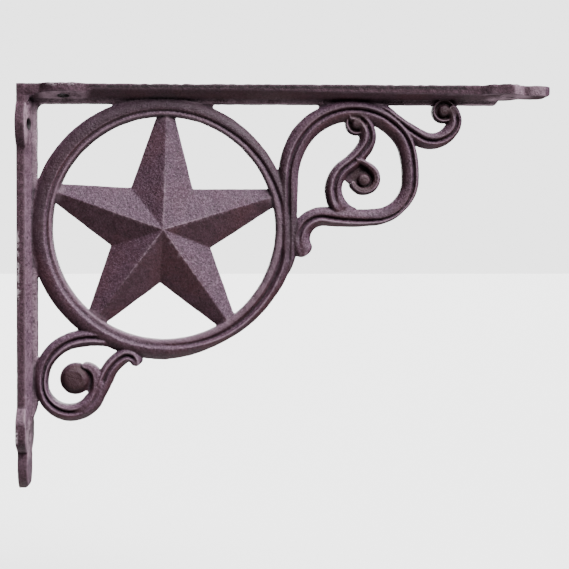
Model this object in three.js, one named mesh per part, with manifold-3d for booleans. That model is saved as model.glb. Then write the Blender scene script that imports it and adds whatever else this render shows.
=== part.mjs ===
// Ornate cast iron shelf bracket: one casting with a shelf plate, a wall plate, a ring that frames
// a five-pointed star, and scrolls in the corner. Lengths are millimetres and angles are degrees.
// x runs out from the wall, y across the plates and z up. While it is modelled, z is measured from
// the shelf face, and at the end the casting moves up so that the origin is on the wall face.

import * as THREE from "three";
import { mergeVertices } from "three/addons/utils/BufferGeometryUtils.js";
import Module from "manifold-3d";

// Plates and ribs
const shelfLength = 242;
const wallLength = 182.5;
const plateHalfWidth = 8.4;
const cornerEarEdge = 4.2;
const endEarEdge = 4.6;
const shelfThinEdge = 2.6;
const shelfThinTo = 105;
const wallThinEdge = 3.7;
const edgeTaper = 3;
const plateRoot = 6.3;
const ribDepth = 7.8;
const ribHalf = 2.3;
const ribRunOut = 3;
const ribFlare = 0.2;
const cornerFillet = 6;
const ribFillet = 3;

// Screw ears: one pair beside the rib near the corner, one ear round a hole near each tip
const screwHole = 4.9;
const earHalfWidth = 13.2;
const cornerEarHalfLength = 10;
const cornerHoleOffset = 6.8;
const endEarLead = 13.5;
const endEarRise = 7.5;
const endEarFall = 7;
const tipHalfWidth = 6.6;
const tipBulge = 0.8;
const tipSquareness = 4;
const tipFlat = 0.02;
const shelfCornerHole = 20.9;
const shelfTipToHole = 19.6;
const shelfEndHole = shelfLength - shelfTipToHole;
const wallCornerHole = 18.3;
const wallTipToHole = 23.5;
const wallEndHole = wallLength - wallTipToHole;

const shelfPlate = {
  length: shelfLength, cornerHole: shelfCornerHole, endHole: shelfEndHole,
  thinEdge: shelfThinEdge, thinTo: shelfThinTo,
};
const wallPlate = {
  length: wallLength, cornerHole: wallCornerHole, endHole: wallEndHole,
  thinEdge: wallThinEdge, thinTo: wallEndHole - endEarLead,
};

// Drop from the shelf face to the mount, which is halfway between the wall plate's screws
const mountDrop = (wallCornerHole + wallEndHole) / 2;

// Section of every strap: two raised bands with a groove between them. The ring's inner band is
// lower and its groove so shallow that it reads as a step.
const strapCrest = 4.8;
const strapInnerCrest = 4.5;
const strapFloor = 2.4;
const ringInnerCrest = 3.7;
const ringFloor = 3.3;
const strapEdge = 2.2;
const grooveHalf = 1.1;
const roundEndFlat = 0.04;

// Ring and star
const ringCentre = [65.5, -64.4];
const ringGroove = 55.2;
const ringOuter = 59.2;
const ringInner = 50.6;
const ringOuterShift = -1.6;
const starCentre = [65.6, -65.4];
const starReach = 65;
const starWaist = 23.6;
const starWaistShift = [-1.4, -0.3];
const starHeight = 9.6;
const starTipHeight = 1.7;
const starRimHeight = 1.7;
const starLean = 1.3;

// How finely curves are cut into flats
const ringSteps = 48;
const bendStep = 13.5;
const longestStep = 10;
const discSides = 14;
const holeSides = 16;
const roundEndSteps = 3;
const earSteps = 6;
const endEarSteps = 4;
const tipSteps = 5;
const filletSteps = 6;

// How far joined pieces run into each other
const overlap = 0.4;

// Scrolls. Each is a chain of arcs from a start point and heading. A positive turn bends to the
// left, straight gives a straight run, and left and right are the widths at the arc's end.
const greatScroll = {
  start: [119.6, -88.0], heading: 62.4, left: 1.2, right: 1.2, roundEnd: 4.2,
  arcs: [
    { radius: 22, turn: 27.6, left: 3.2, right: 3.2 },
    { straight: 34.5, left: 4.8, right: 4.4 },
    { radius: 35.4, turn: -36, left: 5.6, right: 4.5 },
    { radius: 28.6, turn: -101, left: 2.8, right: 5.2 },
    { radius: 20.4, turn: -31, left: 2.6, right: 5.2 },
    { radius: 53.2, turn: -16, left: 2.6, right: 5.0 },
    { radius: 18.1, turn: -40, left: 1.5, right: 5.3 },
    { radius: 18.1, turn: -42.6, left: 2.1, right: 5.5 },
    { radius: 96.7, turn: -13.6, left: 3.7, right: 4.8 },
    { radius: 10.5, turn: 120.6, left: 5.5, right: 3.6 },
  ],
};
const stemScroll = {
  start: [150.9, -60.0], heading: 156, left: 3.2, right: 5.2, roundEnd: 1.5,
  arcs: [
    { radius: 13.6, turn: -71.2, left: 4.2, right: 3.5 },
    { radius: 13.4, turn: -50.4, left: 3.9, right: 3.4 },
    { radius: 33.5, turn: 21.7, left: 4.2, right: 3.2 },
    { radius: 9.0, turn: 58, left: 5.0, right: 3.0 },
    { radius: 9.0, turn: 59, left: 3.2, right: 2.6 },
  ],
};
const hookScroll = {
  start: [159.9, -8.9], heading: -13, left: 3.2, right: 1.6, roundEnd: 1.5,
  arcs: [
    { radius: 22.6, turn: -28.6, left: 2.6, right: 1.6 },
    { radius: 79.2, turn: 11.5, left: 3.5, right: 4.0 },
    { radius: 11.3, turn: 80.2, left: 4.5, right: 2.3 },
    { radius: 7.9, turn: 82.2, left: 3.6, right: 2.6 },
  ],
};
const lowerScroll = {
  start: [44.8, -116.5], heading: 160, left: 3.2, right: 3.6, roundEnd: 1.5,
  arcs: [
    { radius: 34.2, turn: 29.8, left: 3.8, right: 4.0 },
    { radius: 19.9, turn: 56.7, left: 2.2, right: 4.6 },
    { radius: 19.0, turn: 35.4, left: 2.0, right: 3.6 },
    { radius: 12.4, turn: 70, left: 3.4, right: 4.2 },
    { radius: 12.4, turn: 60, left: 4.2, right: 4.2 },
    { radius: 12.4, turn: 62, left: 2.2, right: 2.2 },
    { radius: 6.1, turn: 58, left: 1.8, right: 1.6 },
  ],
};
const leafStem = {
  start: [20.9, -148.5], heading: -13, left: 2.2, right: 2.4, roundEnd: 2.2,
  arcs: [
    { radius: 11.9, turn: 74.8, left: 3.0, right: 3.3 },
    { radius: 107.9, turn: 6, left: 3.6, right: 3.8 },
    { radius: 19.2, turn: -37.3, left: 3.6, right: 3.5 },
    { radius: 3.9, turn: -100, left: 3.2, right: 2.4 },
  ],
};
// The plain band that curls round the curl volute has no groove
const curlLead = {
  start: [152.9, -33.8], heading: -8, left: 1.2, right: 1.2, roundEnd: 1.2, floor: 4.3,
  arcs: [
    { radius: 12.1, turn: -46, left: 1.9, right: 1.5 },
    { radius: 5.6, turn: -190, left: 1.6, right: 1.4 },
  ],
};

// Volutes: a dished disc with a rim, and a round boss in its middle
const lowerVolute = { centre: [25.5, -132.8], radius: 7.1, boss: 4.7 };
const stemVolute = { centre: [153.2, -16.9], radius: 5.2, boss: 2.3 };
const curlVolute = { centre: [156.3, -42.8], radius: 7.1, boss: 2.9 };
const hookVolute = { centre: [193.0, -11.0], radius: 5.4, boss: 2.5 };
const voluteRimHeight = 4.2;
const voluteFloorHeight = 2.6;
const voluteBossHeight = 4.6;
const voluteRimShare = 0.84;
const voluteValleyShare = 0.7;
const valleyMargin = 0.5;
const bossTopShare = 0.6;
const bossEdgeShare = 0.86;

// Webs: thin fill between a curl and the strap round it, and where a curve meets the shelf rib.
// The blocks are left, right and bottom, and reach up into the rib.
const webHalf = 2.2;
const webDiscs = [
  { centre: [31.6, -133.6], radius: 5 },
  { centre: [151.0, -40.5], radius: 3.6 },
];
const webBlocks = [[42.2, 56, -10.4], [75, 87.8, -10.8], [136, 146, -9.6], [156, 164.6, -8.8]];

const radians = THREE.MathUtils.degToRad;

const manifold = await Module();
manifold.setup();

// A closed geometry with its shared vertices merged, as a solid that can be joined and cut
function solidOf(geometry) {
  geometry.deleteAttribute("normal");
  geometry.deleteAttribute("uv");
  const merged = mergeVertices(geometry, 1e-4);
  return new manifold.Manifold(new manifold.Mesh({
    numProp: 3,
    vertProperties: new Float32Array(merged.attributes.position.array),
    triVerts: new Uint32Array(merged.index.array),
  }));
}

// A skin through equal rings of points, closed by a fan of flats at each end or back to the first
// ring. Seen along the way the rings run, their points go clockwise.
function skin(rings, closed) {
  const around = rings[0].length;
  const points = rings.flat();
  const faces = [];
  const spans = closed ? rings.length : rings.length - 1;
  for (let i = 0; i < spans; i += 1) {
    const here = i * around;
    const next = ((i + 1) % rings.length) * around;
    for (let j = 0; j < around; j += 1) {
      const k = (j + 1) % around;
      faces.push(here + j, here + k, next + k, here + j, next + k, next + j);
    }
  }
  if (!closed) {
    const last = (rings.length - 1) * around;
    for (const [base, flip] of [[0, true], [last, false]]) {
      const ring = points.slice(base, base + around);
      const middle = ring.reduce((sum, p) => sum.add(p), new THREE.Vector3()).divideScalar(around);
      points.push(middle);
      const hub = points.length - 1;
      for (let j = 0; j < around; j += 1) {
        const k = (j + 1) % around;
        faces.push(hub, base + (flip ? k : j), base + (flip ? j : k));
      }
    }
  }
  const geometry = new THREE.BufferGeometry().setFromPoints(points);
  geometry.setIndex(faces);
  return geometry;
}

// Cross-section of a strap, from its outer edge to its inner edge on the front, then back
function strapSection(left, right, floor, innerCrest) {
  const front = [
    [left, strapEdge],
    [grooveHalf, strapCrest],
    [0, floor],
    [-grooveHalf, innerCrest],
    [-right, strapEdge],
  ];
  const back = front.map(([side, height]) => [side, -height]).reverse();
  return front.concat(back);
}

// Points, headings and widths along a chain of arcs
function walk(scroll) {
  let [x, z] = scroll.start;
  let heading = radians(scroll.heading);
  let { left, right } = scroll;
  const stations = [{ x, z, heading, left, right }];
  const advance = (length, turn, toLeft, toRight, steps, width) => {
    const [fromLeft, fromRight] = [left, right];
    for (let i = 1; i <= steps; i += 1) {
      const middle = heading + turn / steps / 2;
      x += Math.cos(middle) * length / steps;
      z += Math.sin(middle) * length / steps;
      heading += turn / steps;
      const share = i / steps;
      left = THREE.MathUtils.lerp(fromLeft, toLeft, share) * width(share);
      right = THREE.MathUtils.lerp(fromRight, toRight, share) * width(share);
      stations.push({ x, z, heading, left, right });
    }
  };
  for (const arc of scroll.arcs) {
    const turn = radians(arc.turn ?? 0);
    const length = arc.straight ?? arc.radius * Math.abs(turn);
    const bends = Math.abs(arc.turn ?? 0) / bendStep;
    const steps = Math.max(1, Math.ceil(Math.max(bends, length / longestStep)));
    advance(length, turn, arc.left, arc.right, steps, () => 1);
  }
  const rounding = (share) => Math.sqrt(1 + roundEndFlat - share ** 2);
  advance(scroll.roundEnd, 0, left, right, roundEndSteps, rounding);
  return stations;
}

function strapRing({ x, z, heading, left, right }, floor, innerCrest) {
  const [across, along] = [-Math.sin(heading), Math.cos(heading)];
  return strapSection(left, right, floor, innerCrest).map(([side, height]) => (
    new THREE.Vector3(x + across * side, -height, z + along * side)));
}

function scrollSolid(scroll) {
  const { floor = strapFloor } = scroll;
  return solidOf(skin(walk(scroll).map((s) => strapRing(s, floor, strapInnerCrest)), false));
}

// The ring: the same strap round a circle, its outer edge a circle set a little towards the wall
function ringSolid() {
  const stations = [];
  for (let i = 0; i < ringSteps; i += 1) {
    const angle = -(i / ringSteps) * 2 * Math.PI;
    stations.push({
      x: ringCentre[0] + ringGroove * Math.cos(angle),
      z: ringCentre[1] + ringGroove * Math.sin(angle),
      heading: angle - Math.PI / 2,
      left: ringOuter - ringGroove + ringOuterShift * Math.cos(angle),
      right: ringGroove - ringInner,
    });
  }
  return solidOf(skin(stations.map((s) => strapRing(s, ringFloor, ringInnerCrest)), true));
}

// The star: ridges fall from the middle to the five tips, valleys to the five waists between them.
// Its tips would meet outside the ring, so the ring's raised band cuts them off.
function starSolid() {
  const rim = [];
  for (let i = 0; i < 10; i += 1) {
    const isTip = i % 2 === 0;
    const angle = radians(90 - starLean + i * 36);
    const reach = isTip ? starReach : starWaist;
    const shift = isTip ? [0, 0] : starWaistShift;
    rim.push({
      x: starCentre[0] + shift[0] + reach * Math.cos(angle),
      z: starCentre[1] + shift[1] + reach * Math.sin(angle),
      height: isTip ? starTipHeight : starRimHeight,
    });
  }
  const points = [];
  for (const side of [-1, 1]) {
    points.push(new THREE.Vector3(starCentre[0], side * starHeight, starCentre[1]));
    rim.forEach(({ x, z, height }) => points.push(new THREE.Vector3(x, side * height, z)));
  }
  const backStart = rim.length + 1;
  const faces = [];
  for (let i = 0; i < rim.length; i += 1) {
    const here = 1 + i;
    const next = 1 + ((i + 1) % rim.length);
    faces.push(0, here, next);
    faces.push(backStart, backStart + next, backStart + here);
    faces.push(here, backStart + here, backStart + next);
    faces.push(here, backStart + next, next);
  }
  const geometry = new THREE.BufferGeometry().setFromPoints(points);
  geometry.setIndex(faces);
  const reach = (ringGroove + ringOuter) / 2;
  const disc = new THREE.CylinderGeometry(reach, reach, starHeight * 3, ringSteps);
  disc.translate(ringCentre[0], 0, ringCentre[1]);
  return solidOf(geometry).intersect(solidOf(disc));
}

function voluteSolid({ centre, radius, boss }) {
  const half = [
    [boss * bossTopShare, voluteBossHeight],
    [boss, voluteBossHeight * bossEdgeShare],
    [Math.max(boss + valleyMargin, radius * voluteValleyShare), voluteFloorHeight],
    [radius * voluteRimShare, voluteRimHeight],
    [radius, strapEdge],
  ];
  const profile = [[0, -voluteBossHeight]];
  half.forEach(([r, height]) => profile.push([r, -height]));
  half.slice().reverse().forEach(([r, height]) => profile.push([r, height]));
  profile.push([0, voluteBossHeight]);
  const geometry = new THREE.LatheGeometry(profile.map((p) => new THREE.Vector2(...p)), discSides);
  geometry.translate(centre[0], 0, centre[1]);
  return solidOf(geometry);
}

function webDiscSolid({ centre, radius }) {
  const disc = new THREE.CylinderGeometry(radius, radius, webHalf * 2, discSides);
  disc.translate(centre[0], 0, centre[1]);
  return solidOf(disc);
}

function webBlockSolid([left, right, bottom]) {
  const height = -bottom - plateRoot;
  const block = new THREE.BoxGeometry(right - left, webHalf * 2, height);
  block.translate((left + right) / 2, 0, bottom + height / 2);
  return solidOf(block);
}

// Half width of a plate at a distance from the corner, with its ears and its tip
function halfWidth(along, length, cornerHole, endHole) {
  const swell = earHalfWidth - plateHalfWidth;
  const cornerRadius = (cornerEarHalfLength ** 2 + swell ** 2) / (2 * swell);
  const fromCornerHole = Math.abs(along - cornerHole);
  if (fromCornerHole < cornerEarHalfLength) {
    return earHalfWidth - cornerRadius + Math.sqrt(cornerRadius ** 2 - fromCornerHole ** 2);
  }
  const lead = along - (endHole - endEarLead);
  if (lead <= 0) return plateHalfWidth;
  if (lead < endEarRise) return plateHalfWidth + swell * Math.sin((lead / endEarRise) * Math.PI / 2);
  const beyond = along - endHole;
  if (beyond <= 0) return earHalfWidth;
  if (beyond < endEarFall) {
    return tipHalfWidth + (earHalfWidth - tipHalfWidth) * Math.cos((beyond / endEarFall) * Math.PI / 2);
  }
  const tipLength = length - endHole - endEarFall;
  const share = (beyond - endEarFall) / tipLength;
  const rounding = Math.sqrt(1 + tipFlat - share ** tipSquareness);
  return (tipHalfWidth + tipBulge * Math.sin(share * Math.PI)) * rounding;
}

// Depth of a plate's side edges at a distance from the corner, straight between knots
function edgeDepth(along, knots) {
  const next = Math.max(1, knots.findIndex(([at]) => along <= at));
  const [fromAt, fromDepth] = knots[next - 1];
  const [toAt, toDepth] = knots[next];
  return THREE.MathUtils.mapLinear(along, fromAt, toAt, fromDepth, toDepth);
}

// A plate with its rib and holes, made along x with its outer face at z = 0 and then turned. Its
// edges are thick at the ears and thinner between them, and its back slopes up to the rib.
function plateSolid({ length, cornerHole, endHole, thinEdge, thinTo }, turn) {
  const cornerEarStart = cornerHole - cornerEarHalfLength;
  const cornerEarEnd = cornerHole + cornerEarHalfLength;
  const endEarStart = endHole - endEarLead;
  const endEarFull = endEarStart + endEarRise;
  const endEarStop = endHole + endEarFall;
  const knots = [
    [0, cornerEarEdge], [cornerEarEnd, cornerEarEdge], [cornerEarEnd + edgeTaper, thinEdge],
    [thinTo, thinEdge], [endEarFull, endEarEdge], [length, endEarEdge],
  ];
  const spread = (from, to, count) => Array.from({ length: count }, (_, i) => (
    THREE.MathUtils.lerp(from, to, i / count)));
  const stops = new Set([
    ...knots.map(([at]) => at),
    ...spread(cornerEarStart, cornerEarEnd, earSteps),
    ...spread(endEarStart, endEarFull, endEarSteps),
    endEarFull + ribRunOut,
    ...spread(endHole, endEarStop, endEarSteps),
    ...spread(endEarStop, length, tipSteps),
  ]);
  const section = (x) => {
    const half = halfWidth(x, length, cornerHole, endHole);
    const edge = edgeDepth(x, knots);
    const ribLeft = THREE.MathUtils.clamp((endEarFull + ribRunOut - x) / ribRunOut, 0, 1);
    const root = THREE.MathUtils.lerp(edge, plateRoot, ribLeft);
    const drop = THREE.MathUtils.lerp(edge, ribDepth, ribLeft);
    const narrowing = Math.min(1, half / plateHalfWidth);
    const crest = ribHalf * narrowing;
    const foot = (ribHalf + ribFlare) * narrowing;
    return [
      [-half, 0], [-half, -edge], [-foot, -root], [-crest, -drop],
      [crest, -drop], [foot, -root], [half, -edge], [half, 0],
    ].map(([y, z]) => new THREE.Vector3(x, y, z));
  };
  const plate = skin([...stops].sort((a, b) => a - b).map(section), false);

  let solid = solidOf(plate.applyMatrix4(turn));
  const holes = [[cornerHole, cornerHoleOffset], [cornerHole, -cornerHoleOffset], [endHole, 0]];
  for (const [x, y] of holes) {
    const drill = new THREE.CylinderGeometry(screwHole / 2, screwHole / 2, ribDepth * 4, holeSides);
    drill.rotateX(Math.PI / 2);
    drill.translate(x, y, 0);
    solid = solid.subtract(solidOf(drill.applyMatrix4(turn)));
  }
  return solid;
}

// A filler with a hollow curve, in the inner corner of two faces that lie at a depth
function filletSolid(size, depth, halfThickness) {
  const shape = new THREE.Shape();
  shape.moveTo(-overlap, overlap);
  shape.lineTo(size, overlap);
  shape.lineTo(size, 0);
  shape.absarc(size, -size, size, Math.PI / 2, Math.PI, false);
  shape.lineTo(-overlap, -size);
  const geometry = new THREE.ExtrudeGeometry(shape, {
    depth: halfThickness * 2, bevelEnabled: false, curveSegments: filletSteps,
  });
  geometry.translate(0, 0, -halfThickness);
  geometry.rotateX(Math.PI / 2);
  geometry.translate(depth, 0, -depth);
  return solidOf(geometry);
}

const level = new THREE.Matrix4();
const upright = new THREE.Matrix4().makeRotationAxis(new THREE.Vector3(1, 0, -1).normalize(), Math.PI);

let casting = plateSolid(shelfPlate, level).add(plateSolid(wallPlate, upright));
const members = [
  filletSolid(cornerFillet, cornerEarEdge, plateHalfWidth - overlap),
  filletSolid(ribFillet, ribDepth, ribHalf),
  ringSolid(),
  starSolid(),
  ...[greatScroll, stemScroll, curlLead, hookScroll, lowerScroll, leafStem].map(scrollSolid),
  ...[lowerVolute, stemVolute, curlVolute, hookVolute].map(voluteSolid),
  ...webDiscs.map(webDiscSolid),
  ...webBlocks.map(webBlockSolid),
];
for (const member of members) casting = casting.add(member);

const { vertProperties, triVerts } = casting.getMesh();
const castingGeometry = new THREE.BufferGeometry();
castingGeometry.setAttribute("position", new THREE.BufferAttribute(vertProperties, 3));
castingGeometry.setIndex(new THREE.BufferAttribute(triVerts, 1));
castingGeometry.computeVertexNormals();

const castIron = new THREE.MeshStandardMaterial({ color: 0x56444b, roughness: 0.62, metalness: 0.35 });
const bracketCasting = new THREE.Mesh(castingGeometry, castIron);
bracketCasting.name = "bracket_casting";
bracketCasting.position.z = mountDrop;

const bracket = new THREE.Group();
bracket.add(bracketCasting);

export default bracket;
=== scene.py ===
"""Ornate cast iron shelf bracket, dressed for the camera: one casting with a rough sand-cast skin.

Shapes are worked out in millimetres from the corner of the bracket: x runs out from the wall, y
across the plates and z up from the shelf face. At the end everything moves up by MOUNT_DROP and
becomes metres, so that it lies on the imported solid.
"""
import math

import bpy
import numpy as np
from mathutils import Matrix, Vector


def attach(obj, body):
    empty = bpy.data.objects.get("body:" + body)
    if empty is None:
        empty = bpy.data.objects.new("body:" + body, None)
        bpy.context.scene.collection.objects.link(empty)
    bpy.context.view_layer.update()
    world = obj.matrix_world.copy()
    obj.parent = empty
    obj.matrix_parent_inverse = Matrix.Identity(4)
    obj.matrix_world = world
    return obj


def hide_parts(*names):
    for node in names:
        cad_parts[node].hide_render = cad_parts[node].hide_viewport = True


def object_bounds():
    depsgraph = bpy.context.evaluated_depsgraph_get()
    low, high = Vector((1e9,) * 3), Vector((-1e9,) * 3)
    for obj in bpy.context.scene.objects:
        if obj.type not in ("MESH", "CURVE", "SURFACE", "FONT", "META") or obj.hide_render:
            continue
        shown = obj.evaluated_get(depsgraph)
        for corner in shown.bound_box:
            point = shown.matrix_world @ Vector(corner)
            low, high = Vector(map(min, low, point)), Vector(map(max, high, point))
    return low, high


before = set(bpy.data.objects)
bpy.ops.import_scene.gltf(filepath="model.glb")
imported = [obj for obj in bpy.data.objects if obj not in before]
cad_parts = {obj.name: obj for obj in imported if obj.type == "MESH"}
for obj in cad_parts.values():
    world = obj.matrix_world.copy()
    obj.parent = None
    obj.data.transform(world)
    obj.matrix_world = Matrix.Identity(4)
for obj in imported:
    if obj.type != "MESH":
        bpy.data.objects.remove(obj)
cad_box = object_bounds()

# ---- Sizes in millimetres: the solid's own, but for the rib, 0.4 mm deeper, its run-outs, the
# rounder tips of the plates, the beds of the straps and the tables round the ring ----
SHELF_LENGTH = 242.0
WALL_LENGTH = 182.5
PLATE_HALF_WIDTH = 8.4
CORNER_EAR_EDGE = 4.2
END_EAR_EDGE = 4.6
# How thick each plate's edge is past the corner ear, and how far along it stays so
SHELF_THIN = (2.6, 105.0)
WALL_THIN = (3.7, 145.5)
EDGE_TAPER = 3.0
PLATE_ROOT = 6.3
RIB_DEPTH = 8.2
RIB_HALF = 2.3
RIB_FLARE = 0.2
# Where each rib starts to run out, and over what length
SHELF_RUN_OUT = (216.4, 3.0)
WALL_RUN_OUT = (143.5, 14.0)
TIP_ROUND = 3.0
TIP_THIN = 0.5
# A plate has a station at each millimetre, and more near its tip and round its end hole: how far
# before and after, and how many
TIP_STATIONS = (6, 0, 40)
END_HOLE_STATIONS = (16, 10, 60)
SCREW_HOLE = 4.9
EAR_HALF_WIDTH = 13.2
CORNER_EAR_HALF_LENGTH = 10.0
CORNER_HOLE_OFFSET = 6.8
END_EAR_LEAD = 13.5
END_EAR_RISE = 7.5
END_EAR_FALL = 7.0
TIP_HALF_WIDTH = 6.6
TIP_BULGE = 0.8
# Half the length of the bars that cut the screw holes
HOLE_BAR = 20.0
SHELF_HOLES = (20.9, 222.4)
WALL_HOLES = (18.3, 159.0)
MOUNT_DROP = 88.65
# Under the root of a round end's curve: a little more than 1, so that it never comes to a point
BLUNT = 1.02
STRAP_CREST = 4.8
STRAP_EDGE = 2.1
# The powers with which a strap falls to its outer edge and into its groove, and where across each
# its section has points, as shares
OUTER_POWER = 2.5
GROOVE_POWER = 1.2
SLOPE_STEPS = np.array([1, 0.94, 0.84, 0.7, 0.55, 0.38, 0.2, 0.08, 0.0])
GROOVE_STEPS = np.array([0.75, 0.5, 0.25, 0.0, -0.25, -0.5, -0.75])
# The bed of a scroll: height of its inner crest and of the groove's floor, half width of the
# groove, and the power with which it falls to its inner edge
SCROLL_BED = (4.5, 2.75, 1.15, 2.5)
RISE_LENGTH = 9.0
# The same for the ring: the groove's floor and the power
RING_FLOOR = 2.3
RING_POWER = 6.0
RING_CENTRE = (65.5, -64.4)
RING_GROOVE = 55.2
RING_OUTER = 59.2
RING_INNER = 50.6
RING_OUTER_SHIFT = -1.6
RING_STATIONS = 640
# Round the ring, clockwise from the right in degrees: how far its outer edge swells towards the
# great scroll's foot and at the bottom, the groove's distance from the centre, how much of the
# groove is there, its half width and the height of the crest inside it
RING_SWELL = ((2, 0), (18, 2.5), (25, 2.2), (35, 1.3), (45, 0.9), (60, 0.1), (70, 0), (80, 0.3),
              (90, 0.7), (110, 0))
RING_LINE = ((0, 54.6), (20, 55.0), (60, 54.8), (90, 53.6), (130, 53.0), (180, 52.8), (300, 52.8),
             (340, 53.8), (360, 54.6))
RING_CUT = ((0, 0.5), (15, 0.8), (30, 1), (60, 0.9), (80, 0.3), (95, 0.05), (150, 0.05),
            (180, 0.3), (270, 0.3), (320, 0.5), (360, 0.5))
RING_HALF = ((0, 1.1), (20, 1.6), (55, 1.5), (78, 1.0), (360, 1.0))
RING_CREST = ((0, 4.3), (60, 4.0), (80, 3.7), (150, 3.7), (185, 4.2), (360, 4.3))
STAR_CENTRE = (65.6, -65.4)
STAR_REACH = 65.0
STAR_WAIST = 23.6
STAR_WAIST_SHIFT = (-1.4, -0.3)
STAR_HEIGHT = 9.6
STAR_RIM_HEIGHT = 1.7
STAR_LEAN = 1.3
STAR_STEPS = 60
STAR_FIRST_STEP = 0.012
# Points round the bar of a screw hole and round the disc of a web
ROUND_STEPS = 40

# Scrolls: start, heading, widths left and right of the groove, round end, then the arcs as
# (radius, turn, left, right). A radius of 0 is a straight run whose length takes the turn's place.
SCROLLS = {
    "great": ((119.6, -88.0), 62.4, 1.2, 0.2, 4.2, (
        (22.0, 27.6, 3.2, 3.2), (0, 34.5, 4.8, 4.4), (35.4, -36, 5.6, 4.5),
        (28.6, -101, 2.8, 5.2), (20.4, -31, 2.6, 5.2), (53.2, -16, 2.6, 5.0),
        (18.1, -40, 1.5, 5.3), (18.1, -42.6, 2.1, 5.5), (96.7, -13.6, 3.7, 4.8),
        (10.5, 120.6, 5.5, 3.6))),
    "stem": ((150.9, -60.0), 156.0, 3.2, 5.2, 1.5, (
        (13.6, -71.2, 4.2, 3.5), (13.4, -50.4, 3.9, 3.4), (33.5, 21.7, 4.2, 3.2),
        (9.0, 58, 5.0, 3.0), (9.0, 59, 3.2, 2.6))),
    "hook": ((159.9, -8.9), -13.0, 3.2, 1.6, 1.5, (
        (22.6, -28.6, 2.6, 1.6), (79.2, 11.5, 3.5, 4.0), (11.3, 80.2, 4.5, 2.3),
        (7.9, 82.2, 3.6, 2.6))),
    "lower": ((44.8, -116.5), 160.0, 3.2, 3.6, 1.5, (
        (34.2, 29.8, 3.8, 4.0), (19.9, 56.7, 2.2, 4.6), (19.0, 35.4, 2.0, 3.6),
        (12.4, 70, 3.4, 4.2), (12.4, 60, 4.2, 4.2), (12.4, 62, 2.2, 2.2), (6.1, 58, 1.8, 1.6))),
    "leaf": ((20.9, -148.5), -13.0, 2.2, 2.4, 2.2, (
        (11.9, 74.8, 3.0, 3.3), (107.9, 6, 3.6, 3.8), (19.2, -37.3, 3.6, 3.5),
        (3.9, -100, 3.2, 2.4))),
    "curl": ((152.9, -33.8), -8.0, 0.9, 0.9, 1.2, (
        (12.1, -46, 2.0, 1.6), (5.6, -190, 1.7, 1.5))),
}
# For each scroll: the length over which its groove starts, the length over which it runs out, and
# whether it rises out of the metal that it springs from. The curl is too thin for a groove.
NO_GROOVE = 999
ENDS = {"great": (16, 9, True), "stem": (18, 0, True), "hook": (10, 5, True),
        "lower": (5, 22, True), "leaf": (24, 4, True), "curl": (NO_GROOVE, NO_GROOVE, False)}
# Volutes: centre, radius, boss radius, depth of the valley, height of the rim
VOLUTES = (
    ((25.5, -132.8), 7.1, 5.7, 2.3, 2.5), ((153.2, -16.9), 5.2, 2.3, 2.2, 4.0),
    ((156.3, -42.8), 6.6, 2.7, 1.7, 2.2), ((193.0, -11.0), 5.4, 2.5, 2.2, 4.0),
)
VOLUTE_STEPS = 96
# A boss from its middle to its foot: distance as a share of its radius, and height
BOSS_PROFILE = (
    (0.02, 5.0), (0.2, 5.0), (0.4, 4.97), (0.5, 4.93), (0.56, 4.9), (0.62, 4.86), (0.68, 4.8),
    (0.75, 4.7), (0.84, 4.45), (0.92, 4.1), (0.98, 3.7))
# The crescent on a boss wider than this: height, distance from the middle and half width as
# shares of the boss's radius, turn in radians and the power with which it narrows
WIDE_BOSS = 4
CRESCENT = (0.5, 0.6, 0.075, 0.35, 1.5)
# Webs: thin fill beside two curls, as centre and radius, and blocks where curves meet the shelf
# rib, as left, right and bottom
WEB_HALF = 2.1
WEB_DISCS = (((31.6, -133.6), 5.0), ((151.0, -40.5), 3.6))
WEB_BLOCKS = ((42.2, 56.0, -10.4), (75.0, 87.8, -10.8), (136.0, 146.0, -9.6), (156.0, 164.6, -8.8))

# Painted light on the upright side of each end ear along its plate, from 0 to 1: the stretches
# whose facets turn towards the key light
SHELF_PAINTED_FACET_LIGHT = ((208, 0), (209.5, 0.5), (214.5, 0.5), (216, 0), (222.5, 0), (224, 0.9), (227, 0.9),
              (228.5, 0.2), (231, 0.25), (232.5, 0.7), (239, 0.7), (241, 0.4))
WALL_PAINTED_FACET_LIGHT = ((144.5, 0), (146, 0.55), (151.5, 0.55), (153.5, 0), (167, 0), (169, 0.2), (182, 0.2))


# ---- Closed surfaces ----
def eased(value, low, high):
    """0 at low, 1 at high, eased between."""
    share = np.clip((value - low) / (high - low), 0, 1)
    return share * share * (3 - 2 * share)


def closed_skin(rings, loop=False):
    """Vertices and faces of a skin through rings[station, point, xyz]. Neighbouring points of
    neighbouring stations make quads. The ends are closed by fans round their mean point, unless
    the last ring meets the first."""
    stations, around = rings.shape[:2]
    points = rings.reshape(-1, 3)
    spans = stations if loop else stations - 1
    here = (np.arange(spans) * around)[:, None] + np.arange(around)[None, :]
    beside = (np.arange(spans) * around)[:, None] + (np.arange(around)[None, :] + 1) % around
    total = stations * around
    quads = np.stack([here, beside, (beside + around) % total, (here + around) % total], -1)
    faces = [quads.reshape(-1, 4)]
    if not loop:
        points = np.vstack([points, rings[0].mean(0), rings[-1].mean(0)])
        first = np.arange(around)
        second = (first + 1) % around
        last = (stations - 1) * around
        faces.append(np.stack([np.full(around, total), second, first], -1))
        faces.append(np.stack([np.full(around, total + 1), last + first, last + second], -1))
    return points, faces


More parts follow.
